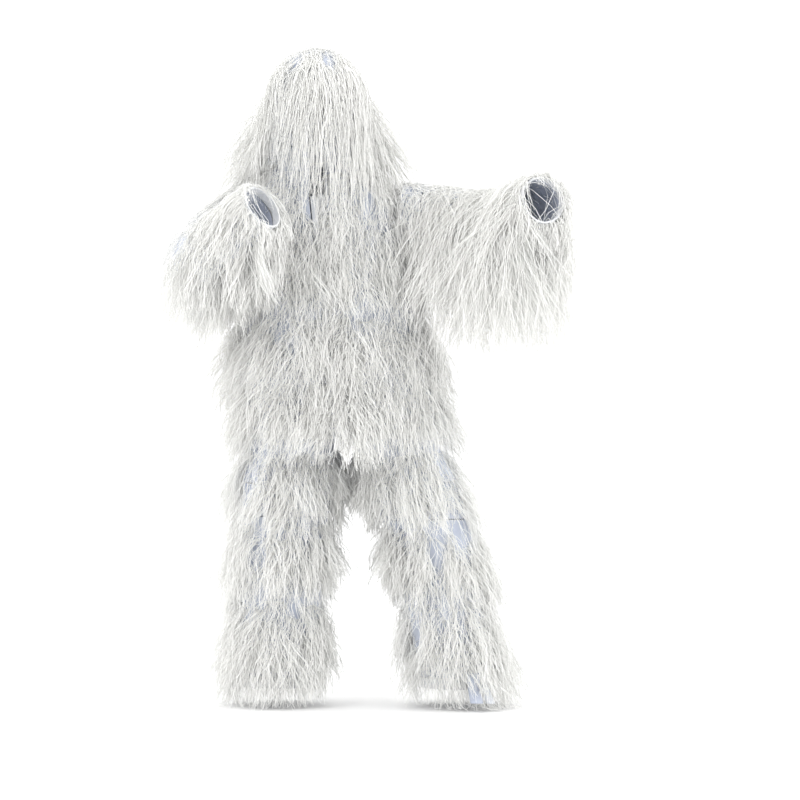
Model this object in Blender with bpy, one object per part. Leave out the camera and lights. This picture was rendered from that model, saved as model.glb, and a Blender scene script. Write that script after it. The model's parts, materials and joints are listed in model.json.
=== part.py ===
"""Winter ghillie suit: a hooded jacket and trousers of pale cloth, sewn all over with tiers of thread.

The suit is hollow and keeps the stance of someone who wears it: legs apart, the right hand
raised before the chest, the left arm held out to the side. +X is the wearer's left, -Y is
forward and +Z is up. Heights are written above the ground the wearer stands on, and one
empty carries the whole suit so that the model's own origin is the middle of the neckline.
Cloth is a shell of even thickness, each tier of thread is a plain flared shell over it, and
a soft fold of cloth bridges every joint.
"""
import math

import bmesh
import bpy
from mathutils import Matrix, Vector

for stale in list(bpy.data.objects):
    bpy.data.objects.remove(stale, do_unlink=True)

# ---------------------------------------------------------------- driving sizes, in metres
NECK = Vector((-0.048, 0.0, 1.46))   # middle of the neckline, the model's origin
UP = Vector((0.0, 0.0, 1.0))

CLOTH = 0.004                        # thickness of a cloth shell
TIER = 0.008                         # thickness of a tier of thread
BAND = 0.005                         # thickness of an elastic band or collar
SEAM = 0.003                         # gap between two neighbouring pieces of cloth
LIFT = 0.004                         # gap from cloth to the sewn edge of a tier
WELD = 0.00001                       # joins the two edges of a sheet that closes on itself

# jacket body: height, half width; the depth and the lean are straight so that the zip is straight
JACKET_HEM = 0.72
NECKLINE = 1.468
JACKET_WIDTHS = ((0.72, 0.262), (0.85, 0.250), (1.05, 0.228), (1.25, 0.207),
                 (1.37, 0.198), (1.41, 0.160), (1.44, 0.120), (1.47, 0.088))
JACKET_DEPTHS = ((0.72, 0.205), (1.37, 0.150), (1.43, 0.112), (1.47, 0.088))
BODY_LEAN = ((0.72, 0.025), (1.37, -0.0446), (1.47, -0.048))
HEM_BAND_HEIGHT = 0.024
COLLAR_HEIGHT = 0.030
HANGER_LENGTH = 0.060
HANGER_BOW = 0.012

ZIP_BOTTOM = JACKET_HEM + 0.015
ZIP_TOP = 1.365
ZIP_HALF_GAP = 0.0205                # from the middle of the zip to the edge of a front panel
TAPE_WIDTH = 0.0155
TAPE_THICKNESS = 0.0015
COIL_WIDTH = 0.006
COIL_DEPTH = 0.003
SLIDER_WIDTH = 0.010
SLIDER_LENGTH = 0.016
SLIDER_DEPTH = 0.003
SLIDER_PIN_RADIUS = 0.001
PULL_LENGTH = 0.030
PULL_WIDTH = 0.0055
PULL_THICKNESS = 0.002
EYE_WALL = 0.001
RUNNING_GAP = 0.0004                 # between the zip's moving pieces

# sleeves
SLEEVE_RADIUS = {"armhole": 0.079, "elbow": 0.066, "wrist": 0.060}
ELBOW_EASE = 0.006                   # spare length that keeps the sleeve clear of itself, bent
CUFF_HEIGHT = 0.022
ARMHOLE_CUT = (0.078, 0.072)         # half height and half depth of the armhole
# standoff is from the jacket's side to the sleeve's first ring, and head the length of cloth
# that folds between that ring and the sleeve
ARMS = {
    "r": {"out": -1, "armhole_height": 1.315, "standoff": 0.008, "head": 0.045,
          "most_bend": math.radians(124.5),
          "shoulder": Vector((-0.232, 0.0, 1.360)), "elbow": Vector((-0.420, -0.130, 1.150)),
          "wrist": Vector((-0.180, -0.310, 1.325))},
    "l": {"out": 1, "armhole_height": 1.322, "standoff": 0.019, "head": 0.062,
          "most_bend": math.radians(105.0),
          "shoulder": Vector((0.165, 0.0, 1.335)), "elbow": Vector((0.430, -0.110, 1.300)),
          "wrist": Vector((0.545, -0.350, 1.340))},
}

# trousers: the seat follows the jacket's lean, and each leg has its own line
SEAT_TOP = 0.975
SEAT_BOTTOM = 0.746
SEAT_WIDTHS = ((0.746, 0.238), (0.86, 0.224), (0.975, 0.203))
SEAT_DEPTHS = ((0.746, 0.168), (0.975, 0.150))
WAISTBAND_HEIGHT = 0.035
LEG_TOP = 0.742
THIGH_TOP = 0.600
KNEE_EASE = 0.075                    # from the knee's axis to the cloth of the thigh or the shin
SHIN_BOTTOM = 0.085
LEG_BAND_HEIGHT = 0.028
LEG_WIDTHS = ((0.06, 0.100), (0.25, 0.104), (0.44, 0.109), (0.60, 0.120), (0.742, 0.105))
LEG_DEPTHS = ((0.06, 0.100), (0.25, 0.104), (0.44, 0.109), (0.60, 0.122), (0.742, 0.135))
LEGS = {
    "r": {"hip": Vector((-0.095, 0.0, 0.86)), "knee": Vector((-0.140, -0.010, 0.44)),
          "ankle": Vector((-0.150, 0.0, 0.05))},
    "l": {"hip": Vector((0.110, 0.0, 0.86)), "knee": Vector((0.270, -0.020, 0.43)),
          "ankle": Vector((0.335, -0.040, 0.05))},
}

# hood: an ellipsoid over the head that narrows to the neck
HOOD_CENTRE = Vector((-0.050, -0.010, 1.620))
HOOD_HALF = Vector((0.118, 0.135, 0.145))
HOOD_NECK_SCALE = 0.80               # of the hood's half sizes, at the neck
HOOD_BOTTOM = 1.537
BROW = 1.700
FACE_HALF_ANGLE = math.radians(52.0)
BINDING_WIDTH = 0.012
NAPE = Vector((-0.048, 0.088, 1.510))        # the hood tips back about this line
BROW_HINGE = Vector((-0.050, -0.132, 1.702))  # the veil lifts about this line
VEIL_HALF_ANGLE = math.radians(60.0)
VEIL_INSET = (0.012, 0.014)          # the veil at the brow, inside the hood's half sizes
VEIL_SPREAD = (0.069, 0.079)         # how much wider and deeper it is at its free end
NET_BOTTOM = 1.450
VEIL_BOTTOM = 1.245
VEIL_STEP = 1.400                    # the raised right sleeve cuts the veil short below this

# tiers of thread: top, bottom, flare at the free end
JACKET_TIERS = {"chest": (1.212, 1.020, 0.015), "waist": (1.045, 0.850, 0.015),
                "hem": (0.875, JACKET_HEM - 0.055, 0.030)}
YOKE_TIER = (1.365, 1.190, 0.014)
LEG_TIERS = {"thigh": (0.640, 0.455, 0.030), "knee": (0.480, 0.265, 0.040),
             "hem": (0.290, 0.012, 0.050)}

FINISHES = {                         # colour, roughness, metallic
    "cloth": ((0.60, 0.63, 0.66), 0.85, 0.0),
    "thread": ((0.78, 0.79, 0.77), 0.80, 0.0),
    "net": ((0.66, 0.68, 0.70), 0.85, 0.0),
    "elastic": ((0.70, 0.71, 0.72), 0.75, 0.0),
    "tape": ((0.72, 0.72, 0.72), 0.80, 0.0),
    "nylon": ((0.80, 0.80, 0.79), 0.40, 0.0),
    "metal": ((0.62, 0.62, 0.61), 0.45, 1.0),
}

suit = bpy.data.objects.new("neck_origin", None)
suit.location = -NECK
bpy.context.scene.collection.objects.link(suit)


# ---------------------------------------------------------------- making and placing a piece
def own_material(name, finish):
    """A Principled material that belongs to one piece only."""
    colour, roughness, metallic = FINISHES[finish]
    material = bpy.data.materials.new(f"{name}_{finish}")
    material.use_nodes = True
    shader = material.node_tree.nodes["Principled BSDF"]
    shader.inputs["Base Color"].default_value = (*colour, 1.0)
    shader.inputs["Roughness"].default_value = roughness
    shader.inputs["Metallic"].default_value = metallic
    return material


def place(name, bm, finish, pivot=NECK):
    """Makes the mesh an object with its origin at the pivot that it moves about."""
    bmesh.ops.translate(bm, verts=bm.verts, vec=-pivot)
    mesh = bpy.data.meshes.new(name)
    bm.to_mesh(mesh)
    bm.free()
    piece = bpy.data.objects.new(name, mesh)
    piece.location = pivot
    piece.parent = suit
    bpy.context.scene.collection.objects.link(piece)
    if finish:
        mesh.materials.append(own_material(name, finish))
    return piece


def sheet(name, surface, across, down, wall, finish, pivot=NECK):
    """A flexible sheet: a grid laid on surface(u, v), with u and v from 0 to 1, given a thickness.

    The surface runs through the middle of the thickness. Edges that meet are joined, so a
    surface that goes all the way round becomes a tube.
    """
    bm = bmesh.new()
    bmesh.ops.create_grid(bm, x_segments=across, y_segments=down, size=0.5)
    for vert in bm.verts:
        vert.co = surface(vert.co.x + 0.5, vert.co.y + 0.5)
    bmesh.ops.remove_doubles(bm, verts=bm.verts, dist=WELD)
    bmesh.ops.recalc_face_normals(bm, faces=bm.faces)
    piece = place(name, bm, finish, pivot)
    solidify = piece.modifiers.new("thickness", "SOLIDIFY")
    solidify.thickness = wall
    solidify.offset = 0.0
    return piece


def block(size, place_at):
    """A bmesh box of the given size, moved by a matrix."""
    bm = bmesh.new()
    bmesh.ops.create_cube(bm, size=1.0)
    bmesh.ops.scale(bm, vec=size, verts=bm.verts)
    bmesh.ops.transform(bm, matrix=place_at, verts=bm.verts)
    return bm


def rod(radius, length, place_at, segments=12):
    """A bmesh cylinder along its own Z, moved by a matrix."""
    bm = bmesh.new()
    bmesh.ops.create_cone(bm, cap_ends=True, segments=segments, radius1=radius, radius2=radius,
                          depth=length, matrix=place_at)
    return bm


def combine(piece, other, operation):
    """Joins another closed body to the piece, or cuts it away; the other one only guides."""
    boolean = piece.modifiers.new(other.name, "BOOLEAN")
    boolean.object = other
    boolean.operation = operation
    boolean.solver = "EXACT"
    other.hide_render = True
    other.display_type = "WIRE"


def between(stations, height):
    """Reads a straight-line table of (height, size) pairs, held level past both of its ends."""
    if height <= stations[0][0]:
        return stations[0][1]
    for (low, size), (high, next_size) in zip(stations, stations[1:]):
        if height <= high:
            return size + (next_size - size) * (height - low) / (high - low)
    return stations[-1][1]


def mix(start, end, share):
    return start + (end - start) * share


# ---------------------------------------------------------------- jacket body
def jacket_point(angle, height, offset=0.0):
    """A point of the jacket's cloth; angle 0 is the front and 90 degrees the wearer's left."""
    return Vector((between(BODY_LEAN, height)
                   + (between(JACKET_WIDTHS, height) + offset) * math.sin(angle),
                   -(between(JACKET_DEPTHS, height) + offset) * math.cos(angle),
                   height))


def zip_angle(height, spare=0.0):
    return math.asin((ZIP_HALF_GAP + spare) / between(JACKET_WIDTHS, height))


def side_seam(height):
    return math.pi / 2 - SEAM / 2 / between(JACKET_DEPTHS, height)


panel_bottom = JACKET_HEM + HEM_BAND_HEIGHT + SEAM
panel_heights = [panel_bottom, 0.90, 1.05, 1.18, 1.25, 1.31, 1.37, 1.41, 1.44, NECKLINE]


def panel_height(v):
    """Spreads a panel's rows over its chosen heights."""
    step = v * (len(panel_heights) - 1)
    low = min(int(step + WELD), len(panel_heights) - 2)
    return mix(panel_heights[low], panel_heights[low + 1], step - low)


def front_panel(sign):
    def surface(u, v):
        height = panel_height(v)
        return jacket_point(sign * mix(zip_angle(height), side_seam(height), u), height)
    return surface


def back_panel(u, v):
    height = panel_height(v)
    seam = side_seam(height)
    return jacket_point(mix(math.pi * 2 - (math.pi - seam), math.pi - seam, u), height)


jacket_rows = len(panel_heights) - 1
jacket_panels = [sheet("jacket_front_l", front_panel(1), 8, jacket_rows, CLOTH, "cloth"),
                 sheet("jacket_front_r", front_panel(-1), 8, jacket_rows, CLOTH, "cloth"),
                 sheet("jacket_back", back_panel, 14, jacket_rows, CLOTH, "cloth")]

for side, arm in ARMS.items():
    height = arm["armhole_height"]
    from_middle = between(JACKET_WIDTHS, height) + arm["standoff"]
    arm["armhole"] = Vector((between(BODY_LEAN, height) + arm["out"] * from_middle, 0.0, height))
    half_height, half_depth = ARMHOLE_CUT
    across = Matrix.Translation(arm["armhole"]) @ Matrix.Rotation(math.pi / 2, 4, "Y")
    oval = across @ Matrix.Diagonal((half_height, half_depth, 1.0, 1.0))
    cutter = place(f"armhole_cutter_{side}", rod(1.0, 0.16, oval, segments=16), None)
    for panel in jacket_panels:
        combine(panel, cutter, "DIFFERENCE")


def hem_band(u, v):
    height = mix(JACKET_HEM, JACKET_HEM + HEM_BAND_HEIGHT, v)
    edge = zip_angle(height)
    return jacket_point(mix(edge, 2 * math.pi - edge, u), height)


def collar(u, v):
    height = mix(NECKLINE + SEAM, NECKLINE + SEAM + COLLAR_HEIGHT, v)
    edge = zip_angle(NECKLINE)
    return jacket_point(mix(edge, 2 * math.pi - edge, u), NECKLINE) + UP * (height - NECKLINE)


sheet("jacket_hem_band", hem_band, 24, 1, BAND, "elastic")
sheet("collar_band", collar, 20, 1, BAND, "cloth")


def hanger(u, v):
    """A loop of tape on the collar's back, its ends sewn down and its middle standing off."""
    spread = math.asin(HANGER_LENGTH / 2 / between(JACKET_WIDTHS, NECKLINE))
    on_collar = jacket_point(math.pi + mix(-spread, spread, u), NECKLINE, BAND)
    bow = Vector((0.0, HANGER_BOW * math.sin(math.pi * u), 0.0))
    return on_collar + bow + UP * (SEAM + mix(0.010, 0.018, v))


sheet("hanger_loop", hanger, 8, 1, 0.0015, "tape")


def jacket_tier(top, bottom, flare, first_angle, last_angle):
    def surface(u, v):
        height = mix(bottom, top, v)
        offset = CLOTH / 2 + LIFT + TIER / 2 + flare * (1 - v)
        return jacket_point(mix(first_angle, last_angle, u), height, offset)
    return surface


for tier, (top, bottom, flare) in JACKET_TIERS.items():
    opening = zip_angle(bottom, spare=0.010)
    skirt = jacket_tier(top, bottom, flare, opening, 2 * math.pi - opening)
    sheet(f"jacket_fringe_{tier}", skirt, 24, 2, TIER, "thread")
sheet("jacket_fringe_yoke", jacket_tier(*YOKE_TIER, math.radians(128), math.radians(232)), 8, 3,
      TIER, "thread")


# ---------------------------------------------------------------- zip
def zip_point(height):
    return jacket_point(0.0, height)


zip_along = (zip_point(ZIP_TOP) - zip_point(ZIP_BOTTOM)).normalized()
zip_across = (Vector((1.0, 0.0, 0.0)) - zip_along * zip_along.x).normalized()
zip_out = zip_across.cross(zip_along)
zip_length = (zip_point(ZIP_TOP) - zip_point(ZIP_BOTTOM)).length
zip_middle = (zip_point(ZIP_TOP) + zip_point(ZIP_BOTTOM)) / 2
slider_place = zip_point(ZIP_TOP) - zip_along * SLIDER_LENGTH


def zip_frame(at, across=0.0, out=0.0, along=0.0):
    """A matrix whose X, Y and Z run across the zip, into the cloth and up the zip."""
    turn = Matrix((zip_across, -zip_out, zip_along)).transposed().to_4x4()
    return Matrix.Translation(at + zip_across * across + zip_out * out + zip_along * along) @ turn


coil_half = COIL_WIDTH / 2
for side, sign in (("r", -1), ("l", 1)):
    tape_middle = sign * (coil_half + 0.0005 + TAPE_WIDTH / 2)
    tape = block((TAPE_WIDTH, TAPE_THICKNESS, zip_length), zip_frame(zip_middle, tape_middle))
    place(f"zip_tape_{side}", tape, "tape")
place("zip_coil", block((COIL_WIDTH, COIL_DEPTH, zip_length), zip_frame(zip_middle)), "nylon")

slider_out = COIL_DEPTH / 2 + RUNNING_GAP + SLIDER_DEPTH / 2
eye_hole_radius = SLIDER_PIN_RADIUS + RUNNING_GAP
eye_radius = eye_hole_radius + EYE_WALL
pin_out = slider_out + SLIDER_DEPTH / 2 + RUNNING_GAP + eye_radius
pin_centre = slider_place + zip_out * pin_out
slider = place("zip_slider",
               block((SLIDER_WIDTH, SLIDER_DEPTH, SLIDER_LENGTH),
                     zip_frame(slider_place, out=slider_out)), "metal", slider_place)
ear_thickness = 0.0012
ear_middle = PULL_WIDTH / 2 + RUNNING_GAP + ear_thickness / 2
ear_depth = pin_out + 0.0016 - slider_out
for side, sign in (("r", -1), ("l", 1)):
    ear = block((ear_thickness, ear_depth, 0.004),
                zip_frame(slider_place, across=sign * ear_middle, out=slider_out + ear_depth / 2))
    combine(slider, place(f"ear_{side}", ear, None, slider_place), "UNION")
across_zip = Matrix.Rotation(math.pi / 2, 4, "Y")
pin = rod(SLIDER_PIN_RADIUS, 2 * ear_middle, zip_frame(slider_place, out=pin_out) @ across_zip)
combine(slider, place("slider_pin", pin, None, slider_place), "UNION")

pull = place("zip_pull",
             block((PULL_WIDTH, PULL_THICKNESS, PULL_LENGTH),
                   zip_frame(pin_centre, along=-PULL_LENGTH / 2)), "metal", pin_centre)
eye = rod(eye_radius, PULL_WIDTH, zip_frame(pin_centre) @ across_zip)
combine(pull, place("pull_eye", eye, None, pin_centre), "UNION")
eye_hole = rod(eye_hole_radius, 2 * PULL_WIDTH, zip_frame(pin_centre) @ across_zip)
combine(pull, place("pull_eye_hole", eye_hole, None, pin_centre), "DIFFERENCE")


# ---------------------------------------------------------------- sleeves
def ring_point(centre, normal, high, wide, angle):
    """A point of an oval ring that faces along normal; angle 0 is level and 90 degrees is the top."""
    level = normal.cross(UP).normalized()
    top = level.cross(normal)
    return centre + level * (wide * math.cos(angle)) + top * (high * math.sin(angle))


def lay_out(arm):
    """Works out where the straight runs and the bend of one sleeve begin and end."""
    upper = (arm["elbow"] - arm["shoulder"]).normalized()
    fore = (arm["wrist"] - arm["elbow"]).normalized()
    widest = SLEEVE_RADIUS["elbow"] + CLOTH / 2
    arm["bend"] = upper.angle(fore)
    arm["reach"] = widest * math.tan(arm["most_bend"] / 2) + ELBOW_EASE
    arm["upper"] = upper
    arm["fore"] = fore
    arm["hinge"] = upper.cross(fore).normalized()
    arm["bend_start"] = arm["elbow"] - upper * arm["reach"]
    arm["bend_end"] = arm["elbow"] + fore * arm["reach"]
    arm["run"] = (arm["bend_start"] - arm["armhole"]).length
    inward = (fore - upper * fore.dot(upper)).normalized()
    arm["bend_centre"] = arm["bend_start"] + inward * (arm["reach"] / math.tan(arm["bend"] / 2))


def upper_frame(arm, share):
    """Middle, direction and radius of the upper sleeve, from the armhole (0) to the bend (1)."""
    centre = arm["armhole"].lerp(arm["bend_start"], share)
    normal = Vector((arm["out"], 0.0, 0.0)).lerp(arm["upper"], share).normalized()
    return centre, normal, mix(SLEEVE_RADIUS["armhole"], SLEEVE_RADIUS["elbow"], share)


def fore_frame(arm, share):
    """Middle, direction and radius of the forearm's sleeve, from the bend (0) to the wrist (1)."""
    centre = arm["bend_end"].lerp(arm["wrist"], share)
    return centre, arm["fore"], mix(SLEEVE_RADIUS["elbow"], SLEEVE_RADIUS["wrist"], share)


def bend_frame(arm, share):
    """Middle, direction and radius of the sleeve round the elbow, from upper (0) to fore (1)."""
    turn = Matrix.Rotation(arm["bend"] * share, 3, arm["hinge"])
    centre = arm["bend_centre"] + turn @ (arm["bend_start"] - arm["bend_centre"])
    return centre, (turn @ arm["upper"]).normalized(), SLEEVE_RADIUS["elbow"]


def sleeve_tube(frame, arm, first, last):
    def surface(u, v):
        centre, normal, radius = frame(arm, mix(first, last, v))
        return ring_point(centre, normal, radius, radius, 2 * math.pi * u)
    return surface


def elbow_tube(arm):
    """The bend keeps the ring of its own start and turns it, so that the cloth isn't twisted."""
    def surface(u, v):
        turn = Matrix.Rotation(arm["bend"] * v, 3, arm["hinge"])
        radius = SLEEVE_RADIUS["elbow"]
        start = ring_point(arm["bend_start"], arm["upper"], radius, radius, 2 * math.pi * u)
        return arm["bend_centre"] + turn @ (start - arm["bend_centre"])
    return surface


def saddle(frame, arm, first, last, drop, drop_end, inward=0.012):
    """Threads tied along a sleeve fall on both sides of it: an arch with two hanging walls."""
    def surface(u, v):
        centre, normal, radius = frame(arm, mix(first, last, u))
        level = normal.cross(UP).normalized()
        steep = 1.0 / math.hypot(normal.x, normal.y)
        reach = radius + CLOTH / 2 + LIFT + TIER / 2
        side = 2.0 * v - 1.0
        if abs(side) <= 0.5:
            tilt = side * math.pi
            return centre + level * (reach * math.sin(tilt)) + UP * (reach * steep * math.cos(tilt))
        hang = (abs(side) - 0.5) * 2.0
        out = math.copysign(reach - inward * hang, side)
        return centre + level * out - UP * (mix(drop, drop_end, u) * hang)
    return surface


def shoulder_tier(arm, first, last, half_spread):
    """The short tier over the top of the sleeve head, which leaves the armpit free."""
    def surface(u, v):
        share = mix(first, last, u)
        centre, normal, radius = upper_frame(arm, share)
        reach = radius + CLOTH / 2 + LIFT + TIER / 2
        return ring_point(centre, normal, reach, reach, math.pi / 2 + half_spread * (2 * v - 1))
    return surface


def tassel(centre, top, bottom, wide, deep, flare):
    """A skirt of thread that hangs straight down round one point."""
    def surface(u, v):
        grow = flare * (1 - v)
        angle = 2 * math.pi * u
        return Vector((centre.x + (wide + grow) * math.cos(angle),
                       centre.y + (deep + grow) * math.sin(angle), mix(bottom, top, v)))
    return surface


for side, arm in ARMS.items():
    lay_out(arm)
    head = arm["head"] / arm["run"]
    sleeve_start = head + 3 * SEAM / arm["run"]
    sleeve_stop = 1.0 - SEAM / arm["run"]
    sheet(f"shoulder_fold_{side}", sleeve_tube(upper_frame, arm, 0.0, head), 16, 1, CLOTH,
          "cloth", arm["shoulder"])
    sheet(f"sleeve_upper_{side}", sleeve_tube(upper_frame, arm, sleeve_start, sleeve_stop), 16, 2,
          CLOTH, "cloth", arm["shoulder"])
    sheet(f"elbow_fold_{side}", elbow_tube(arm), 16, 6, CLOTH, "cloth", arm["elbow"])
    fore_run = (arm["wrist"] - arm["bend_end"]).length
    sleeve_end = 1.0 - (CUFF_HEIGHT + SEAM) / fore_run
    sheet(f"sleeve_fore_{side}", sleeve_tube(fore_frame, arm, SEAM / fore_run, sleeve_end), 16, 2, CLOTH,
          "cloth", arm["elbow"])
    sheet(f"cuff_band_{side}", sleeve_tube(fore_frame, arm, 1.0 - CUFF_HEIGHT / fore_run, 1.0),
          16, 1, BAND, "elastic", arm["elbow"])

right, left = ARMS["r"], ARMS["l"]
tier_columns = 4
arch_rows = 12
sheet("sleeve_fringe_shoulder_r", shoulder_tier(right, 0.10, 0.52, math.radians(62)), 3, 8, TIER,
      "thread", right["shoulder"])
sheet("sleeve_fringe_upper_r", shoulder_tier(right, 0.57, 0.96, math.radians(105)), 3, 12, TIER,
      "thread", right["shoulder"])
elbow_middle = bend_frame(right, 0.5)[0]
sheet("sleeve_fringe_elbow_r", tassel(elbow_middle, 1.136, 0.965, 0.070, 0.078, 0.016), 16, 2,
      TIER, "thread", right["elbow"])
sheet("sleeve_fringe_cuff_r", saddle(fore_frame, right, 0.06, 1.0, 0.12, 0.15, 0.004),
      tier_columns, arch_rows, TIER, "thread", right["elbow"])

sheet("sleeve_fringe_shoulder_l", shoulder_tier(left, 0.08, 0.44, math.radians(78)), 3, 8, TIER,
      "thread", left["shoulder"])
sheet("sleeve_fringe_upper_l", saddle(upper_frame, left, 0.50, 1.0, 0.31, 0.31), tier_columns,
      arch_rows, TIER, "thread", left["shoulder"])
sheet("sleeve_fringe_elbow_l", saddle(bend_frame, left, 0.05, 0.95, 0.31, 0.32), tier_columns,
      arch_rows, TIER, "thread", left["elbow"])
sheet("sleeve_fringe_cuff_l", saddle(fore_frame, left, 0.03, 1.0, 0.32, 0.30), tier_columns,
      arch_rows, TIER, "thread", left["elbow"])


# ---------------------------------------------------------------- trousers
def seat_point(angle, height):
    return Vector((between(BODY_LEAN, height) + between(SEAT_WIDTHS, height) * math.sin(angle),
                   -between(SEAT_DEPTHS, height) * math.cos(angle), height))


def seat(u, v):
    return seat_point(2 * math.pi * u, mix(SEAT_BOTTOM, SEAT_TOP, v))


def waist(u, v):
    height = mix(SEAT_TOP + SEAM, SEAT_TOP + SEAM + WAISTBAND_HEIGHT, v)
    return seat_point(2 * math.pi * u, SEAT_TOP) + UP * (height - SEAT_TOP)


def leg_middle(leg, height):
    """The middle of a leg's cloth, on straight lines from the hip to the knee and the ankle."""
    top, bottom = ("hip", "knee") if height > leg["knee"].z else ("knee", "ankle")
    share = (leg[top].z - height) / (leg[top].z - leg[bottom].z)
    return leg[top].lerp(leg[bottom], share)


def leg_tube(leg, bottom, top, lift=0.0, flare=0.0):
    def surface(u, v):
        height = mix(bottom, top, v)
        angle = 2 * math.pi * u
        offset = lift + flare * (1 - v)
        middle = leg_middle(leg, height)
        return Vector((middle.x + (between(LEG_WIDTHS, height) + offset) * math.sin(angle),
                       middle.y - (between(LEG_DEPTHS, height) + offset) * math.cos(angle),
                       height))
    return surface


sheet("trouser_seat", seat, 24, 2, CLOTH, "cloth")
sheet("waistband", waist, 24, 1, BAND, "elastic")

tier_lift = CLOTH / 2 + LIFT + TIER / 2
for side, leg in LEGS.items():
    knee = leg["knee"].z
    pieces = (
        ("groin_fold", THIGH_TOP + SEAM, LEG_TOP, 2, CLOTH, "cloth", "hip"),
        ("thigh", knee + KNEE_EASE, THIGH_TOP, 1, CLOTH, "cloth", "hip"),
        ("knee_fold", knee - KNEE_EASE + SEAM, knee + KNEE_EASE - SEAM, 2, CLOTH, "cloth", "knee"),
        ("shin", SHIN_BOTTOM, knee - KNEE_EASE, 2, CLOTH, "cloth", "knee"),
        ("leg_hem_band", SHIN_BOTTOM - SEAM - LEG_BAND_HEIGHT, SHIN_BOTTOM - SEAM, 1, BAND,
         "elastic", "knee"),
    )
    for name, bottom, top, rows, wall, finish, pivot in pieces:
        sheet(f"{name}_{side}", leg_tube(leg, bottom, top), 16, rows, wall, finish, leg[pivot])
    for tier, pivot in (("thigh", "hip"), ("knee", "knee"), ("hem", "knee")):
        top, bottom, flare = LEG_TIERS[tier]
        sheet(f"leg_fringe_{tier}_{side}", leg_tube(leg, bottom, top, tier_lift, flare), 16, 2,
              TIER, "thread", leg[pivot])


# ---------------------------------------------------------------- hood and veil
def hood_point(angle, height, offset=0.0):
    """A point of the hood; angle 0 is the face and 90 degrees the wearer's left."""
    half = HOOD_HALF + Vector((offset, offset, offset))
    above = (height - HOOD_CENTRE.z) / half.z
    if above >= 0.0:
        wide = math.sqrt(max(0.0, 1.0 - above * above))
        return HOOD_CENTRE + Vector((half.x * wide * math.sin(angle),
                                     -half.y * wide * math.cos(angle), above * half.z))
    share = min(1.0, (HOOD_CENTRE.z - height) / (HOOD_CENTRE.z - HOOD_BOTTOM))
    wide = mix(1.0, HOOD_NECK_SCALE, share * share)
    return HOOD_CENTRE + Vector(((HOOD_HALF.x * wide + offset) * math.sin(angle),
                                 -(HOOD_HALF.y * wide + offset) * math.cos(angle),
                                 height - HOOD_CENTRE.z))


def dome(bottom, offset=0.0):
    """The hood's top down to a height that may change with the angle."""
    def surface(u, v):
        angle = 2 * math.pi * u
        edge = bottom(angle)
        top = HOOD_CENTRE.z + HOOD_HALF.z + offset
        lowest = math.acos((edge - HOOD_CENTRE.z) / (HOOD_HALF.z + offset))
        if edge < HOOD_CENTRE.z:
            return hood_point(angle, mix(top, edge, v * v), offset)
        return hood_point(angle, HOOD_CENTRE.z + (HOOD_HALF.z + offset) * math.cos(lowest * v),
                          offset)
    return surface


def hood_side(sign):
    def surface(u, v):
        height = mix(HOOD_BOTTOM, BROW - SEAM, v)
        back = math.pi - SEAM / 2 / HOOD_HALF.y
        return hood_point(sign * mix(FACE_HALF_ANGLE, back, u), height)
    return surface


sheet("hood_crown", dome(lambda angle: BROW), 20, 4, CLOTH, "cloth", NAPE)
sheet("hood_side_l", hood_side(1), 8, 4, CLOTH, "cloth", NAPE)
sheet("hood_side_r", hood_side(-1), 8, 4, CLOTH, "cloth", NAPE)


def binding(u, v):
    """A tape round the face opening: up one cheek, over the brow and down the other."""
    turn = math.pi * u
    inset = BINDING_WIDTH * v
    wide = FACE_HALF_ANGLE - (SEAM + inset) / HOOD_HALF.x
    tall = BROW - 2 * SEAM - inset - HOOD_BOTTOM
    square = 0.45
    angle = math.copysign(wide * abs(math.cos(turn)) ** square, math.cos(turn))
    return hood_point(angle, HOOD_BOTTOM + tall * max(0.0, math.sin(turn)) ** square)


sheet("hood_face_binding", binding, 20, 1, CLOTH, "tape", NAPE)


def neck_fold(u, v):
    """Soft cloth between the collar and the hood, open at the throat."""
    edge = math.radians(30)
    angle = mix(edge, 2 * math.pi - edge, u)
    low = jacket_point(angle, NECKLINE)
    low.z = NECKLINE + COLLAR_HEIGHT + 3 * SEAM
    high = hood_point(angle, HOOD_BOTTOM)
    high.z = HOOD_BOTTOM - SEAM
    return low.lerp(high, v)


sheet("hood_neck_fold", neck_fold, 18, 1, CLOTH, "cloth", NAPE)


def crown_edge(angle):
    """The crown's tier ends at the brow in front and lower at the sides and back."""
    turned = abs(math.remainder(angle, 2 * math.pi))
    share = min(1.0, max(0.0, (turned - math.radians(64)) / math.radians(20)))
    return mix(BROW + 0.012, 1.655, share)


sheet("hood_fringe_crown", dome(crown_edge, tier_lift + 0.002), 28, 4, TIER, "thread", NAPE)


def cape(u, v):
    """The long tier round the sides and back of the hood, spread over the shoulders."""
    height = mix(1.452, 1.622, v)
    edge = math.radians(72)
    spread = 0.095 * (1 - v) ** 1.3
    return hood_point(mix(edge, 2 * math.pi - edge, u), height, tier_lift + spread)


sheet("hood_fringe_cape", cape, 16, 4, TIER, "thread", NAPE)


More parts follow.
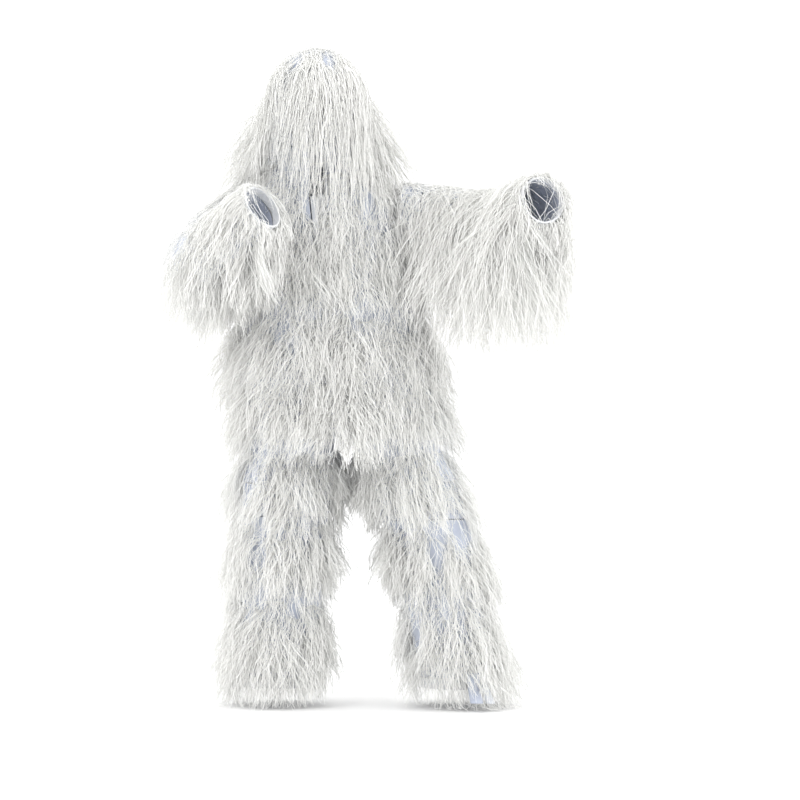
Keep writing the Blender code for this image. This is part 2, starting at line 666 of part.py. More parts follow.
def veil(bottom, offset, narrow):
    """A curtain from the brow that hangs forward of the face and the chest."""
    def surface(u, v):
        height = mix(bottom, BROW, v)
        fall = (BROW - height) / (BROW - VEIL_BOTTOM)
        wide = HOOD_HALF.x - VEIL_INSET[0] + VEIL_SPREAD[0] * fall + offset
        deep = HOOD_HALF.y - VEIL_INSET[1] + VEIL_SPREAD[1] * fall + offset
        right_edge = -VEIL_HALF_ANGLE
        left_edge = mix(VEIL_HALF_ANGLE, math.radians(48), fall)
        if narrow:
            step = min(1.0, max(0.0, (VEIL_STEP + 0.02 - height) / 0.04))
            right_edge = mix(right_edge, math.radians(-14), step)
        angle = mix(right_edge, left_edge, u)
        return Vector((HOOD_CENTRE.x + 0.018 * fall + wide * math.sin(angle),
                       HOOD_CENTRE.y - deep * math.cos(angle), height))
    return surface


sheet("veil_net", veil(NET_BOTTOM, 0.012, narrow=False), 10, 4, 0.003, "net", BROW_HINGE)
sheet("veil_fringe", veil(VEIL_BOTTOM, 0.023, narrow=True), 10, 10, TIER, "thread", BROW_HINGE)
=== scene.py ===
import json
import math

import bmesh
import bpy
import numpy as np
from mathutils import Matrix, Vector, noise
from mathutils.bvhtree import BVHTree


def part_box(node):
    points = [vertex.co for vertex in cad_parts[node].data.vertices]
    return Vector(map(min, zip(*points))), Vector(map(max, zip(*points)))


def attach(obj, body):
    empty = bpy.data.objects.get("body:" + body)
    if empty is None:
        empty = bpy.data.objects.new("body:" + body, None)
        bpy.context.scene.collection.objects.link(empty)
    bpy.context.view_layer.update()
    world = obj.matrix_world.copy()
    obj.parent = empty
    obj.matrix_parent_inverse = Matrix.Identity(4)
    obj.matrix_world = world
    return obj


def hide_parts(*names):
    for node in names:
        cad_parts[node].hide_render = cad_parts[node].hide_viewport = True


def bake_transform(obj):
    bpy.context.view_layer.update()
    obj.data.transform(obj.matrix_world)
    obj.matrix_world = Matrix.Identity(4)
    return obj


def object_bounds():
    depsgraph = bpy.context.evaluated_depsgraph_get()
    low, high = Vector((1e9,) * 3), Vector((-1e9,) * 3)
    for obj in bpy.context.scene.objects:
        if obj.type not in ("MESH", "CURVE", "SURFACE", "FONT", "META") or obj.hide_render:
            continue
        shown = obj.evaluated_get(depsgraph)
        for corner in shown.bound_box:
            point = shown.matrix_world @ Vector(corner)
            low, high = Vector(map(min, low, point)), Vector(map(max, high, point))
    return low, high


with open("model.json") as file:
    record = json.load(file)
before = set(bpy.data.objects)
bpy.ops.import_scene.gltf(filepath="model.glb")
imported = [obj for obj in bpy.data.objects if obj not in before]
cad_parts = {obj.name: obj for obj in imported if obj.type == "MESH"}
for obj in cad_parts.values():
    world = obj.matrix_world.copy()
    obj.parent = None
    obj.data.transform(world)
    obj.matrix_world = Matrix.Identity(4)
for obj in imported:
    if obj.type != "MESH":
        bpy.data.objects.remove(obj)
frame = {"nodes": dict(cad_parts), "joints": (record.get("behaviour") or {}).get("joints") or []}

cad_low, cad_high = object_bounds()
UP = Vector((0.0, 0.0, 1.0))
FRONT = Vector((0.0, -1.0, 0.0))


# ---------------------------------------------------------------- jacket shell
# Two fronts and a back of thin white polyester twill, cut loose and sewn at the sides.
# Each is the imported panel made finer and given the slack folds that unlined cloth takes.
def linear(colour):
    """An sRGB hex colour as linear light, with full alpha."""
    channels = [int(colour[i:i + 2], 16) / 255 for i in (0, 2, 4)]
    return (*[c / 12.92 if c <= 0.04045 else ((c + 0.055) / 1.055) ** 2.4 for c in channels], 1.0)


def add_node(tree, kind, inputs, **settings):
    """Adds a shader node with its settings, and fills its inputs with values or links."""
    node = tree.nodes.new(kind)
    for name, value in settings.items():
        setattr(node, name, value)
    for name, value in inputs.items():
        if isinstance(value, bpy.types.NodeSocket):
            tree.links.new(value, node.inputs[name])
        else:
            node.inputs[name].default_value = value
    return node


def finish_of(name, roughness, sheen=0.0, metallic=0.0):
    """A new material with a Principled shader, its tree and the place of each point in metres."""
    material = bpy.data.materials.new(name)
    material.use_nodes = True
    tree = material.node_tree
    shader = tree.nodes["Principled BSDF"]
    shader.inputs["Roughness"].default_value = roughness
    shader.inputs["Sheen Weight"].default_value = sheen
    shader.inputs["Metallic"].default_value = metallic
    place = add_node(tree, "ShaderNodeTexCoord", {}).outputs["Object"]
    return material, tree, shader, place


def two_tones(tree, share, dark, light, low=0.3, high=0.7):
    """Blends two colours by a share between its low and high values."""
    ramp = add_node(tree, "ShaderNodeValToRGB", {"Fac": share})
    first, last = ramp.color_ramp.elements
    first.position, first.color = low, linear(dark)
    last.position, last.color = high, linear(light)
    return ramp.outputs["Color"]


def raise_relief(tree, shader, height, strength, distance):
    """Roughens a shader's surface by a height from 0 to 1, at its real depth in metres."""
    relief = add_node(tree, "ShaderNodeBump", {"Height": height, "Strength": strength,
                                               "Distance": distance})
    tree.links.new(relief.outputs["Normal"], shader.inputs["Normal"])


# Twill: fine diagonal ribs 1.2 mm apart, drawn at 3 mm so that they show, over the faint
# clouding that dyed polyester has. It is pale lilac-grey beside the pure white threads.
twill, tree, shader, place = finish_of("white polyester twill", 0.72, sheen=0.25)
TWILL_RIB = 0.003
WAVE_SCALE = 0.314                     # of a wave texture whose bands repeat every metre
ribs = add_node(tree, "ShaderNodeTexWave", {"Vector": place, "Scale": WAVE_SCALE / TWILL_RIB,
                                            "Distortion": 0.6, "Detail": 1.0},
                wave_type="BANDS", bands_direction="DIAGONAL")
clouds = add_node(tree, "ShaderNodeTexNoise", {"Vector": place, "Scale": 11.0, "Detail": 4.0})
tree.links.new(two_tones(tree, clouds.outputs["Fac"], "A4ABBD", "CDD3DF"),
               shader.inputs["Base Color"])
raise_relief(tree, shader, ribs.outputs["Fac"], 0.35, 0.0006)

# Blender takes this noise's seed from the clock unless it is given one, so the folds get theirs.
FOLD_SEED = 1
noise.seed_set(FOLD_SEED)
CLOTH_CELL = 0.022
FOLDS_PER_METRE = (16.0, 16.0, 7.0)    # slack folds run down the cloth more than across it
GATHERS_ROUND = 120
SOFT_SHARE = 0.6
SEAM_MERGE = 0.0001


def middle_of(*nodes):
    """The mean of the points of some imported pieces."""
    points = [vert.co for node in nodes for vert in frame["nodes"][node].data.vertices]
    return sum(points, Vector()) / len(points)


def make_finer(bm, cell):
    """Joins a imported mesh's triangles and halves its long edges until they are about a cell."""
    bmesh.ops.join_triangles(bm, faces=bm.faces, angle_face_threshold=math.radians(20),
                             angle_shape_threshold=math.radians(170))
    for halving in range(4):
        too_long = [edge for edge in bm.edges if edge.calc_length() > cell]
        if too_long:
            bmesh.ops.subdivide_edges(bm, edges=too_long, cuts=1, use_grid_fill=True)


def soft_copy(node, body, material, slack, cell=CLOTH_CELL, gathers=0.0):
    """A packed soft piece made finer, with folds of slack cloth or the small gathers of elastic."""
    bm = bmesh.new()
    bm.from_mesh(frame["nodes"][node].data)
    bmesh.ops.remove_doubles(bm, verts=bm.verts, dist=SEAM_MERGE)
    make_finer(bm, cell)
    middle = middle_of(node)
    for vert in bm.verts:
        vert.co += noise.noise_vector(vert.co * Vector(FOLDS_PER_METRE)) * slack
        if gathers:
            turn = math.atan2(vert.co.x - middle.x, vert.co.y - middle.y)
            vert.co += vert.normal * (gathers * math.sin(turn * GATHERS_ROUND))
    mesh = bpy.data.meshes.new(node + "_cloth")
    bm.to_mesh(mesh)
    bm.free()
    mesh.shade_smooth()
    mesh.set_sharp_from_angle(angle=math.radians(55.0))
    mesh.materials.append(material)
    piece = bpy.data.objects.new(node + "_cloth", mesh)
    bpy.context.scene.collection.objects.link(piece)
    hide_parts(node)
    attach(piece, body)
    return piece


def fold_ends(node, way, soft_share=SOFT_SHARE):
    """The two ends of a soft fold along a way, a share of its reach either side of its middle."""
    middle = middle_of(node)
    way = way.normalized()
    reaches = [(vert.co - middle).dot(way) * soft_share
               for vert in frame["nodes"][node].data.vertices]
    return middle + way * min(reaches), middle + way * max(reaches)


jacket_cloth = {node: soft_copy(node, "jacket", twill, 0.007)
                for node in ("jacket_front_r", "jacket_front_l", "jacket_back")}


# ---------------------------------------------------------------- bands and collar
# The jacket's hem, the trouser waist, both cuffs and both leg hems end in knitted elastic;
# the collar is a doubled strip of the twill. Each is sewn edge to edge with its cloth.
# Knitted elastic: ribs 2 mm apart run round the band, white, with painted shade in grey in the
# grooves between the ribs.
elastic, tree, shader, place = finish_of("knitted white elastic", 0.8, sheen=0.2)
ELASTIC_RIB = 0.002
ribs = add_node(tree, "ShaderNodeTexWave", {"Vector": place, "Scale": WAVE_SCALE / ELASTIC_RIB,
                                            "Distortion": 0.3},
                wave_type="BANDS", bands_direction="Z")
# The colour follows the ribs' relief, so the grey in the grooves is painted shade.
tree.links.new(two_tones(tree, ribs.outputs["Fac"], "CDD0D5", "F3F4F5"),
               shader.inputs["Base Color"])
raise_relief(tree, shader, ribs.outputs["Fac"], 0.6, 0.0008)

BAND_CELL = 0.009
bands = {"jacket_hem_band": "jacket", "waistband": "jacket",
         "cuff_band_r": "fore_sleeve_r", "cuff_band_l": "fore_sleeve_l",
         "leg_hem_band_r": "shin_r_body", "leg_hem_band_l": "shin_l_body"}
for node, body in bands.items():
    band = soft_copy(node, body, elastic, 0.002, BAND_CELL, gathers=0.0006)
    low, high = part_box(node)
collar = soft_copy("collar_band", "jacket", twill, 0.002, 0.012)


# ---------------------------------------------------------------- hanger loop and zip
# A short loop of flat tape behind the collar hangs the suit on a hook. The front closes with
# a nylon coil zip: the coil is a flattened spiral of nylon line sewn down the tapes' edges,
# and a lacquered zinc slider with a swinging pull runs on it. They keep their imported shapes.
tape, tree, shader, place = finish_of("flat woven polyester tape", 0.7, sheen=0.15)
TAPE_RIB = 0.0015
ribs = add_node(tree, "ShaderNodeTexWave", {"Vector": place, "Scale": WAVE_SCALE / TAPE_RIB},
                wave_type="BANDS", bands_direction="Z")
# The tape's colour follows its ribs' relief, so the grey in the grooves between them is painted
# shade.
tree.links.new(two_tones(tree, ribs.outputs["Fac"], "BFC3CB", "E3E5E9"),
               shader.inputs["Base Color"])
raise_relief(tree, shader, ribs.outputs["Fac"], 0.4, 0.0004)

# Lacquered zinc: smooth white lacquer over a casting, with the faint orange peel of dipping and
# painted shade that greys its hollows.
lacquer, tree, shader, place = finish_of("white lacquered zinc", 0.32)
peel_and_painted_shade = add_node(tree, "ShaderNodeTexNoise", {"Vector": place, "Scale": 900.0, "Detail": 2.0})
# The colour follows the orange peel's relief, so its hollows are greyer: painted shade.
tree.links.new(two_tones(tree, peel_and_painted_shade.outputs["Fac"], "CFD1D3", "E8E9EA"),
               shader.inputs["Base Color"])
raise_relief(tree, shader, peel_and_painted_shade.outputs["Fac"], 0.15, 0.0002)
shader.inputs["Coat Weight"].default_value = 0.4


def refinish(node, material):
    """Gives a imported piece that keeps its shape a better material."""
    packed = frame["nodes"][node]
    for slot in packed.material_slots:
        slot.link = "OBJECT"
        slot.material = material


for node, material in (("zip_tape_r", tape), ("zip_tape_l", tape), ("zip_slider", lacquer),
                       ("zip_pull", lacquer)):
    refinish(node, material)
loop_of_tape = soft_copy("hanger_loop", "jacket", tape, 0.0, 0.006)

# Nylon: moulded line, half gloss, slightly yellower than the tape.
nylon, tree, shader, place = finish_of("white nylon line", 0.35)
grain = add_node(tree, "ShaderNodeTexNoise", {"Vector": place, "Scale": 500.0})
tree.links.new(two_tones(tree, grain.outputs["Fac"], "D5D5D0", "ECECE8"),
               shader.inputs["Base Color"])


def mesh_of(curve, material):
    """A curve turned into a mesh of one material; the curve is removed."""
    strand = bpy.data.objects.new(curve.name, curve)
    bpy.context.scene.collection.objects.link(strand)
    bpy.context.view_layer.update()
    mesh = bpy.data.meshes.new_from_object(
        strand.evaluated_get(bpy.context.evaluated_depsgraph_get()))
    bpy.data.objects.remove(strand)
    bpy.data.curves.remove(curve)
    mesh.materials.clear()
    mesh.materials.append(material)
    mesh.shade_smooth()
    return mesh


COIL_PITCH = 0.0030
COIL_LINE = 0.0006
COIL_HALF_WIDTH = 0.0023
COIL_HALF_DEPTH = 0.0008
COIL_MARGIN = 0.002
STEPS_A_TURN = 6
low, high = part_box("zip_coil")
zip_slide = next(joint for joint in frame["joints"] if joint["name"] == "zip_slide")
down_zip = Vector(zip_slide["axis"])
coil_end = [vert.co for vert in frame["nodes"]["zip_coil"].data.vertices
            if vert.co.z > high.z - 2 * COIL_MARGIN]
coil_start = sum(coil_end, Vector()) / len(coil_end)
coil_length = (high.z - low.z) / abs(down_zip.z)
across_coil = (Vector((1.0, 0.0, 0.0)) - down_zip * down_zip.x).normalized()
through_coil = across_coil.cross(down_zip)
line = bpy.data.curves.new("zip_coil_line", "CURVE")
line.dimensions = "3D"
line.bevel_depth = COIL_LINE
line.bevel_resolution = 0
line.use_fill_caps = True
turns = int(coil_length / COIL_PITCH) - 1
spiral = line.splines.new("POLY")
spiral.points.add(turns * STEPS_A_TURN - 1)
for i, point in enumerate(spiral.points):
    turn = 2 * math.pi * i / STEPS_A_TURN
    spot = (coil_start + down_zip * (COIL_MARGIN + COIL_PITCH * i / STEPS_A_TURN)
            + across_coil * (COIL_HALF_WIDTH * math.cos(turn))
            + through_coil * (COIL_HALF_DEPTH * math.sin(turn)))
    point.co = (*spot, 1.0)
zip_coil = bpy.data.objects.new("zip_coil_spiral", mesh_of(line, nylon))
bpy.context.scene.collection.objects.link(zip_coil)
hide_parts("zip_coil")
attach(zip_coil, "jacket")


# ---------------------------------------------------------------- threads, and how they are sewn
# All the threads are soft white acrylic yarn, about 2 mm thick. They are cut in lengths, tied
# in tufts of about twenty and sewn to the cloth in rows, so each tuft bursts out, then hangs.
# Acrylic yarn: matt and a little fuzzy, from warm white to light grey; each thread has its
# own tone. The yarn's twist of 1.5 mm is too fine to show, so it is drawn at 4 mm.
yarn, tree, shader, place = finish_of("white acrylic yarn", 0.78, sheen=0.35)
tone = add_node(tree, "ShaderNodeAttribute", {}, attribute_name="tone")
TWIST = 0.004
fuzz = add_node(tree, "ShaderNodeTexNoise", {"Vector": place, "Scale": 1.0 / TWIST,
                                             "Detail": 2.0})
tree.links.new(two_tones(tree, tone.outputs["Fac"], "EEEEEA", "FFFFFD", 0.0, 1.0),
               shader.inputs["Base Color"])
raise_relief(tree, shader, fuzz.outputs["Fac"], 0.5, 0.0008)

YARN_RADIUS = 0.00088
THREAD_POINTS = 8
THREAD_SIDES = 3
GROUND = -1.46
TUFT_SPREAD = 0.005
TUFT_SCATTER = 0.34                    # how far threads leave a tuft in ways of their own
ROOT_HEIGHT = 0.003
ROW_WANDER = 0.009
WILD_SHARE = 0.22                      # of the threads curl more than the rest, by WILD_SWAY
WILD_SWAY = 2.4
LONGEST_PUSH = 0.03                    # that the cloth below gives a thread in one step
CROSSING_SHARE = 0.12                  # of the threads that still cross a bare patch
TIP_SHARE = 0.6                        # of a thread's thickness is left at its frayed end
# Where few threads were sewn to the front and the twill shows: across, up and half width.
BARE_PATCHES = ((-0.058, 0.268, 0.020), (0.034, 0.276, 0.017), (-0.366, -0.214, 0.026),
                (-0.190, -0.862, 0.024), (-0.160, -1.060, 0.022), (0.352, -0.800, 0.026),
                (0.390, -0.995, 0.024), (0.322, -1.050, 0.018), (0.215, 0.010, 0.022),
                (0.145, -0.120, 0.016), (-0.195, 0.045, 0.020), (0.258, -1.275, 0.018),
                (0.165, 0.030, 0.016))

section = bpy.data.curves.new("yarn_section", "CURVE")
section.dimensions = "3D"
ring = section.splines.new("POLY")
ring.points.add(THREAD_SIDES - 1)
for i, point in enumerate(ring.points):
    turn = 2 * math.pi * i / THREAD_SIDES
    point.co = (YARN_RADIUS * math.cos(turn), YARN_RADIUS * math.sin(turn), 0.0, 1.0)
ring.use_cyclic_u = True
yarn_section = bpy.data.objects.new("yarn_section", section)
bpy.context.scene.collection.objects.link(yarn_section)


def outer_faces(*nodes, middle=None):
    """The outer faces of packed cloth pieces, those that face away from the pieces' middle."""
    middle = middle or middle_of(*nodes)
    found = []
    for node in nodes:
        mesh = frame["nodes"][node].data
        for face in mesh.polygons:
            if face.normal.dot(face.center - middle) > 0.0:
                found.append([mesh.vertices[i].co.copy() for i in face.vertices])
    return found


def skin_of(triangles):
    """A tree of triangles, which finds the cloth nearest to a point or along a ray."""
    points = [corner for triangle in triangles for corner in triangle]
    return BVHTree.FromPolygons(points, [(i, i + 1, i + 2) for i in range(0, len(points), 3)])


jacket_faces = outer_faces("jacket_front_r", "jacket_front_l", "jacket_back",
                           "jacket_hem_band", "collar_band")
hood_parts = ("hood_crown", "hood_side_r", "hood_side_l", "hood_neck_fold")
hood_faces = outer_faces(*hood_parts)
net_faces = outer_faces("veil_net", middle=middle_of("hood_crown", "hood_side_r", "hood_side_l"))
seat_faces = outer_faces("trouser_seat")
ARM_PARTS = ("shoulder_fold", "sleeve_upper", "elbow_fold", "sleeve_fore", "cuff_band")
LEG_PARTS = ("groin_fold", "thigh", "knee_fold", "shin", "leg_hem_band")
limb_faces = {part + side: outer_faces(part + side)
              for part in ARM_PARTS + LEG_PARTS for side in ("_r", "_l")}
suit_skin = skin_of(jacket_faces + hood_faces + net_faces + seat_faces
                    + [face for faces in limb_faces.values() for face in faces])
arm_skin = {side: skin_of([face for part in ARM_PARTS for face in limb_faces[part + side]])
            for side in ("_r", "_l")}
leg_skin = {side: skin_of([face for part in LEG_PARTS for face in limb_faces[part + side]])
            for side in ("_r", "_l")}
jacket_skin = skin_of(jacket_faces)
hood_skin = skin_of(hood_faces)

OUTLINE_MARGIN = (0.040, 0.027, 0.060)
LEAST_REACH = np.array(cad_low) - OUTLINE_MARGIN
MOST_REACH = np.array(cad_high) + OUTLINE_MARGIN
SLEEVE_MOUTHS = []
MOUTH_RADIUS = 0.032
MOUTH_DEPTH = (-0.03, 0.10)            # from before the cuff to inside the sleeve
for side in ("_r", "_l"):
    mouth = middle_of("cuff_band" + side)
    SLEEVE_MOUTHS.append((np.array(mouth),
                          np.array((middle_of("sleeve_fore" + side) - mouth).normalized())))


def sew_row(chance, skin, middle, along, zero, first, last, tufts, reach, length, tilt=0.0):
    """One row of tufts round a body: (place, way out, length) of each, first to last in degrees.

    Angle 0 is the way of zero, and angles turn about along. reach is how far out a needle
    starts from the middle, and tilt lifts its way above the row's plane.
    """
    side = along.cross(zero)
    row = []
    for i in range(tufts):
        spread = (last - first) / tufts
        turn = math.radians(first + (i + 0.5 + chance.uniform(-0.4, 0.4)) * spread)
        level = zero * math.cos(turn) + side * math.sin(turn)
        way = level * math.cos(tilt) + along * math.sin(tilt)
        start = middle + along * chance.uniform(-ROW_WANDER, ROW_WANDER)
        spot, normal, face, far = skin.ray_cast(start + way * reach, -way, reach)
        if spot is not None:
            row.append((spot, normal, length * chance.uniform(0.78, 1.12)))
    return row


def grow_threads(name, node, body, tufts, chance, threads=18, burst=0.42, weight=0.80,
                 sway=0.42, lock=0.22, fan=0.10, drift=0.0, stand=(0.003, 0.018),
                 points=THREAD_POINTS):
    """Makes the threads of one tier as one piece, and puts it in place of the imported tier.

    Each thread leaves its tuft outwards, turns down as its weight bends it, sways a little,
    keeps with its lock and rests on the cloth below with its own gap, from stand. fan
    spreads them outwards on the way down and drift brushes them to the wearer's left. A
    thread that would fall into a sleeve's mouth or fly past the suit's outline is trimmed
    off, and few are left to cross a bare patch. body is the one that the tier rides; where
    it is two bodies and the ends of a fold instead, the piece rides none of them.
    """
    count = len(tufts) * threads
    spots = np.repeat([tuft[0] for tuft in tufts], threads, axis=0)
    ways = np.repeat([tuft[1] for tuft in tufts], threads, axis=0)
    lengths = np.repeat([tuft[2] for tuft in tufts], threads) * chance.uniform(0.72, 1.08, count)
    leaning = np.repeat(chance.normal(0, 1, (len(tufts), 3)) * (1, 1, 0), threads, axis=0)
    spots = spots + ways * ROOT_HEIGHT + chance.normal(0, TUFT_SPREAD, (count, 3))
    heading = ways * burst + chance.normal(0, TUFT_SCATTER, (count, 3))
    heading /= np.linalg.norm(heading, axis=1, keepdims=True)
    gap = chance.uniform(0, 1, count)
    phase = chance.uniform(0, 2 * np.pi, (count, 3))
    rate = chance.uniform(0.5, 1.6, (count, 3))
    wild = np.where(chance.uniform(0, 1, count) < WILD_SHARE, WILD_SWAY, 1.0)
    wild = wild[:, None] * (1, 1, 0.3)
    spreading = ways * (fan, fan, 0) + (drift, 0, 0)
    pace = np.linspace(0.5, 1.5, points - 1)
    path = [spots]
    for k in range(1, points):
        swaying = np.sin(phase + rate * k) * wild * sway
        heading = heading + (0, 0, -weight) + swaying + leaning * lock + spreading
        heading /= np.linalg.norm(heading, axis=1, keepdims=True)
        moved = path[-1] + heading * (lengths * pace[k - 1] / (points - 1))[:, None]
        clear = stand[0] + (stand[1] - stand[0]) * gap * (0.35 + 0.65 * k / (points - 1))
        for i, spot in enumerate(moved):
            near, normal, face, far = suit_skin.find_nearest(spot, 0.05)
            if near is not None:
                short = clear[i] - (Vector(spot) - near).dot(normal)
                if short > 0.0:
                    moved[i] = spot + np.array(normal) * min(short, LONGEST_PUSH)
        moved[:, 2] = np.maximum(moved[:, 2], GROUND + 0.004 + 0.006 * gap)
        heading = moved - path[-1]
        heading /= np.linalg.norm(heading, axis=1, keepdims=True)
        path.append(moved)
    paths = np.stack(path, axis=1)
    keep = ((paths > LEAST_REACH) & (paths < MOST_REACH)).all(axis=(1, 2))
    for mouth, inwards in SLEEVE_MOUTHS:
        along_sleeve = np.clip((paths - mouth) @ inwards, *MOUTH_DEPTH)[:, :, None] * inwards
        keep &= ~(np.linalg.norm(paths - mouth - along_sleeve, axis=2) < MOUTH_RADIUS).any(axis=1)
    for x, z, radius in BARE_PATCHES:
        off = np.hypot(paths[:, :, 0] - x, (paths[:, :, 2] - z) * 0.7)
        crosses = ((off < radius) & (paths[:, :, 1] < 0.0)).any(axis=1)
        keep &= ~crosses | (chance.uniform(0, 1, count) < CROSSING_SHARE)
    paths = paths[keep]
    count = len(paths)
    taper = np.linspace(1.0, TIP_SHARE, points)
    curve = bpy.data.curves.new(name, "CURVE")
    curve.dimensions = "3D"
    curve.bevel_mode = "OBJECT"
    curve.bevel_object = yarn_section
    curve.use_fill_caps = True
    for thread in paths:
        spline = curve.splines.new("POLY")
        spline.points.add(points - 1)
        spline.points.foreach_set("co", np.column_stack((thread, np.ones(points))).ravel())
        spline.points.foreach_set("radius", taper)
    mesh = mesh_of(curve, yarn)
    mesh.name = name
    tones = chance.uniform(0, 1, count) ** 0.6
    tone_layer = mesh.attributes.new("tone", "FLOAT", "POINT")
    each = len(mesh.vertices) // count
    tone_layer.data.foreach_set("value", np.repeat(tones, each).astype(np.float32))
    piece = bpy.data.objects.new(name, mesh)
    bpy.context.scene.collection.objects.link(piece)
    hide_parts(node)
    if isinstance(body, str):
        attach(piece, body)
    else:
        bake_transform(piece)
    return piece


# ---------------------------------------------------------------- jacket threads
# Three tiers go round the jacket and a fourth covers the back between the shoulders. The
# chest tier starts at the collar, so its upper rows cover the fronts under the veil.
TIER_DEPTH = 0.12                      # from a tier's first row down to its last


def rows_between(top, bottom, rows):
    """Heights of a tier's rows, from its top down."""
    return [top + (bottom - top) * (i + 0.5) / rows for i in range(rows)]


JACKET_REACH = 0.4
body_top, body_bottom = middle_of("collar_band"), middle_of("jacket_hem_band")


def body_middle(height):
    """The middle of the jacket at a height."""
    share = (body_top.z - height) / (body_top.z - body_bottom.z)
    return body_top.lerp(body_bottom, share)


def sew_jacket(chance, height, first, last, tufts, length):
    """One row of tufts on the jacket at a height, from one angle round it to another."""
    return sew_row(chance, jacket_skin, body_middle(height), UP, FRONT, first, last, tufts,
                   JACKET_REACH, length)


def beside_zip(chance, height, length):
    """Tufts sewn close to both edges of the zip, whose threads hide it."""
    return (sew_jacket(chance, height, 5, 12, 2, length)
            + sew_jacket(chance, height, -12, -5, 2, length))


chance = np.random.default_rng(3)
chest_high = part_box("jacket_fringe_chest")[1]
chest_tufts = []
for height in rows_between(body_top.z - 0.045, chest_high.z, 6):
    chest_tufts += sew_jacket(chance, height, -75, 75, 13, 0.20)
for height in rows_between(chest_high.z, chest_high.z - 0.10, 3):
    chest_tufts += sew_jacket(chance, height, -180, 180, 34, 0.19)
for height in rows_between(body_top.z - 0.03, body_top.z - 0.115, 5):
    for first in (55, -125):
        chest_tufts += sew_jacket(chance, height, first, first + 70, 5, 0.13)
for height in rows_between(body_top.z - 0.16, chest_high.z - 0.10, 8):
    chest_tufts += beside_zip(chance, height, 0.18)
chest_threads = grow_threads("chest_threads", "jacket_fringe_chest", "jacket", chest_tufts, chance,
                             threads=17, drift=-0.03, stand=(0.003, 0.022))

waist_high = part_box("jacket_fringe_waist")[1]
waist_tufts = []
for height in rows_between(waist_high.z, waist_high.z - TIER_DEPTH, 4):
    waist_tufts += sew_jacket(chance, height, -180, 180, 36, 0.21)
for height in rows_between(waist_high.z, waist_high.z - TIER_DEPTH, 4):
    waist_tufts += beside_zip(chance, height, 0.17)
waist_threads = grow_threads("waist_threads", "jacket_fringe_waist", "jacket", waist_tufts, chance,
                             threads=22, fan=0.16, drift=-0.06, stand=(0.003, 0.030))

hem_low, hem_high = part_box("jacket_fringe_hem")


def hem_length(height):
    """The length of the hem tier's threads, which end close to one level from every row."""
    return 0.5 * (height - hem_low.z) + 0.09


hem_tufts = []
for height in rows_between(hem_high.z, hem_high.z - TIER_DEPTH, 4):
    hem_tufts += sew_jacket(chance, height, -180, 180, 38, hem_length(height))
for height in rows_between(hem_high.z, hem_high.z - TIER_DEPTH, 4):
    hem_tufts += beside_zip(chance, height, hem_length(height))
hem_threads = grow_threads("jacket_hem_threads", "jacket_fringe_hem", "jacket", hem_tufts, chance,
                           threads=23, fan=0.16, drift=-0.05, stand=(0.003, 0.030))

yoke_low, yoke_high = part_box("jacket_fringe_yoke")
yoke_tufts = []
for height in rows_between(yoke_high.z + 0.06, yoke_low.z + 0.02, 6):
    yoke_tufts += sew_jacket(chance, height, 105, 255, 14, 0.19)
yoke_threads = grow_threads("yoke_threads", "jacket_fringe_yoke", "jacket", yoke_tufts, chance,
                            threads=15)


# ---------------------------------------------------------------- sleeves
# Each sleeve is a loose tube of the twill in four lengths of cloth: the head, the upper
# sleeve, the elbow and the forearm. The head and the elbow are soft folds.
ELBOW_SHARE = 0.2


def hang_fold(node, joins, slack, cell):
    """The soft cloth at a joint between the two bodies that it joins; it rides neither of them."""
    fold = soft_copy(node, joins[0], twill, slack, cell)
    fold.parent = None
    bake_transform(fold)


sleeve_cloth = {}
arm_joins = {}
for side in ("_r", "_l"):
    for part, body in (("sleeve_upper", "upper_sleeve"), ("sleeve_fore", "fore_sleeve")):
        sleeve_cloth[part + side] = soft_copy(part + side, body + side, twill, 0.006)
    # An elbow is bent at rest, so the ends of its fold are taken close to its middle.
    shoulder_way = middle_of("sleeve_upper" + side) - middle_of("shoulder_fold" + side)
    elbow_way = middle_of("sleeve_fore" + side) - middle_of("sleeve_upper" + side)
    arm_joins[side] = {
        "shoulder_fold": ("jacket", "upper_sleeve" + side,
                          *fold_ends("shoulder_fold" + side, shoulder_way)),
        "elbow_fold": ("upper_sleeve" + side, "fore_sleeve" + side,
                       *fold_ends("elbow_fold" + side, elbow_way, ELBOW_SHARE))}
    for part, after in (("shoulder_fold", "sleeve_upper"), ("elbow_fold", "sleeve_fore")):
        hang_fold(part + side, arm_joins[side][part], 0.005, 0.012)


# ---------------------------------------------------------------- sleeve threads
# Threads are tied along the top and both sides of a sleeve and hang from it: short over the
# head, long below the held-out arm, where they make one ragged curtain.
def along_limb(parts, share):
    """The middle and the direction of a limb at a share of the way through its pieces."""
    middles = [middle_of(part) for part in parts]
    at = share * (len(middles) - 1)
    piece = min(max(int(at), 0), len(middles) - 2)
    before, after = middles[piece], middles[piece + 1]
    return before.lerp(after, at - piece), (after - before).normalized()


def sew_sleeve(chance, side, first, last, rows, tufts, half, length):
    """Rows of tufts on a sleeve from one share of its length to another, over its upper side."""
    parts = [part + side for part in ARM_PARTS]
    found = []
    for i in range(rows):
        middle, along = along_limb(parts, first + (last - first) * (i + 0.5) / rows)
        top = (UP - along * along.z).normalized()
        found += sew_row(chance, arm_skin[side], middle, along, top, -half, half, tufts,
                         SLEEVE_REACH, length)
    return found


